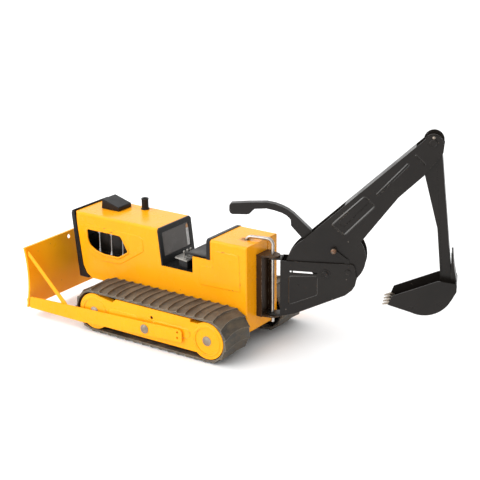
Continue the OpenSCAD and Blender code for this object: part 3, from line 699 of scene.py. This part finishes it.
def make_pressings(side, sign):
    """The pressed panels, lips and beads of one side."""

    def body_side(u, v, out):
        return MM * Vector((u, sign * (BODY_FACE + out), v))

    def frame_side(u, v, out):
        return MM * Vector((u, sign * (FRAME_FACE + out), v))

    def boom_side(u, v, out):
        return boom_place(u, v, sign * (BOOM_FACE + out))

    def tower_side(u, v, out):
        return arm_place(u, sign * (TOWER_FACE + out), v)

    window_lip(side, sign)
    panels = [skirt(rounded(WINDOW_PANEL, 6.0), 1.4), skirt(rounded(REAR_PANEL, 5.0), 1.4)]
    embossed(side + "_body_pressings", panels, body_side, 0.74, "body", "vehicle")
    embossed(side + "_frame_pressings", FRAME_OUTLINES, frame_side, 0.92, "yellow", "vehicle")
    # The boom's and tower's pressed edges get the lighter black: wear and a painted highlight.
    embossed(side + "_boom_pressings", BOOM_OUTLINES, boom_side, 1.0, "rubbed", "boom")
    embossed(side + "_tower_pressings", [bead(rounded(TOWER_PANEL, 3.0), 1.1)], tower_side, 0.9,
             "rubbed", "backhoe_base")


# Turned pieces of the backhoe: (radius, height) from the sheet that they sit on.
RIVET = rivet_profile(1.5, 0.8, 0.5, 0.35)
TIP_RING = [(3.05, 0.0), (5.5, 0.0), (5.6, 0.5), (5.1, 1.1), (4.3, 1.3), (3.6, 1.0), (3.1, 0.3)]
PIN_EYELET = [(1.4, 0.0), (4.5, 0.0), (4.7, 0.4), (4.2, 0.9), (3.3, 1.0), (2.5, 0.6), (2.0, 0.15),
              (1.5, 0.05)]


def make_rivets(side, sign):
    """The rivet and ring at one side of the boom's tip, and the eyelet of its pivot."""
    out = sign * ARM_LEFT
    turned("boom_tip_rivet_" + side, boom_place(246.9, 4.4, sign * (BOOM_FACE - 0.05)), out, RIVET,
           "zinc", "boom")
    turned("boom_tip_ring_" + side, TIP + MM * (BOOM_FACE + 1.1) * out, out, TIP_RING,
           "black", "boom")
    turned("boom_pin_eyelet_" + side, BOOM_PIVOT + MM * (TOWER_FACE + 1.85) * out, out, PIN_EYELET,
           "black", "backhoe_base")


for side, _ in SIDES:
    make_track(side)
make_console()
make_windshield_reflection_strip()
for side, sign in SIDES:
    make_pressings(side, sign)
for side, sign in SIDES:
    make_rivets(side, sign)

# ---------------------------------------------------------------- stage, light and camera


LIGHT_TARGET = Vector((0.0, 0.0, 0.1))


def area_light(name, place, extent, power):
    """A rectangular light, in metres and watts, aimed at the toy's middle."""
    light = bpy.data.lights.new(name, "AREA")
    light.shape = "RECTANGLE"
    light.size, light.size_y = extent
    light.energy = power
    obj = bpy.data.objects.new(name, light)
    obj.location = place
    aim = LIGHT_TARGET - Vector(place)
    obj.rotation_mode = "QUATERNION"
    obj.rotation_quaternion = aim.to_track_quat("-Z", "Y")
    scene.collection.objects.link(obj)


FLOOR_HALF = 12.0
SKY_DIM, SKY_BRIGHT = 0.66, 1.65    # the white surroundings are brighter towards the blade


def make_stage():
    """The floor, and white surroundings that brighten along x."""
    mesh = bpy.data.meshes.new("studio_floor")
    work = bmesh.new()
    bmesh.ops.create_grid(work, x_segments=8, y_segments=8, size=FLOOR_HALF)
    work.to_mesh(mesh)
    work.free()
    floor = bpy.data.objects.new("studio_floor", mesh)
    floor.data.materials.append(plain_floor())
    scene.collection.objects.link(floor)
    world = bpy.data.worlds.new("studio")
    world.use_nodes = True
    tree = world.node_tree
    place = tree.nodes.new("ShaderNodeTexCoord")
    split = tree.nodes.new("ShaderNodeSeparateXYZ")
    level = tree.nodes.new("ShaderNodeMapRange")
    tree.links.new(place.outputs["Generated"], split.inputs[0])
    tree.links.new(split.outputs["X"], level.inputs["Value"])
    limits = {"From Min": -1.0, "From Max": 1.0, "To Min": SKY_DIM, "To Max": SKY_BRIGHT}
    for socket, value in limits.items():
        level.inputs[socket].default_value = value
    tree.links.new(level.outputs["Result"], tree.nodes["Background"].inputs["Strength"])
    tree.nodes["Background"].inputs["Color"].default_value = (1.0, 1.0, 1.0, 1.0)
    scene.world = world


# The camera stands behind and to the left of the toy, about 1.9 m away.
CAMERA_PLACE = Vector((-1.0761, 1.4404, 0.7445))
CAMERA_YAW = math.radians(55.58)
CAMERA_PITCH = math.radians(18.76)
CAMERA_ROLL = math.radians(-0.42)
CAMERA_LENS = 96.23


def make_camera():
    """The camera, from its place, its heading, its dip below level and its roll."""
    data = bpy.data.cameras.new("camera")
    data.lens = CAMERA_LENS
    data.sensor_width = 36.0
    data.clip_start, data.clip_end = 0.05, 60.0
    ahead = Vector((math.cos(CAMERA_YAW) * math.cos(CAMERA_PITCH),
                    -math.sin(CAMERA_YAW) * math.cos(CAMERA_PITCH), -math.sin(CAMERA_PITCH)))
    right = ahead.cross(Vector((0, 0, 1))).normalized()
    up = right.cross(ahead)
    across = math.cos(CAMERA_ROLL) * right + math.sin(CAMERA_ROLL) * up
    up = math.cos(CAMERA_ROLL) * up - math.sin(CAMERA_ROLL) * right
    camera = bpy.data.objects.new("camera", data)
    camera.matrix_world = Matrix((
        (across.x, up.x, -ahead.x, CAMERA_PLACE.x),
        (across.y, up.y, -ahead.y, CAMERA_PLACE.y),
        (across.z, up.z, -ahead.z, CAMERA_PLACE.z),
        (0, 0, 0, 1)))
    scene.collection.objects.link(camera)
    scene.camera = camera


make_stage()
make_camera()
area_light("key_softbox", (0.80, 0.45, 1.45), (1.9, 1.4), 13.0)
area_light("side_softbox", (0.55, 1.75, 0.95), (1.5, 1.0), 13.0)
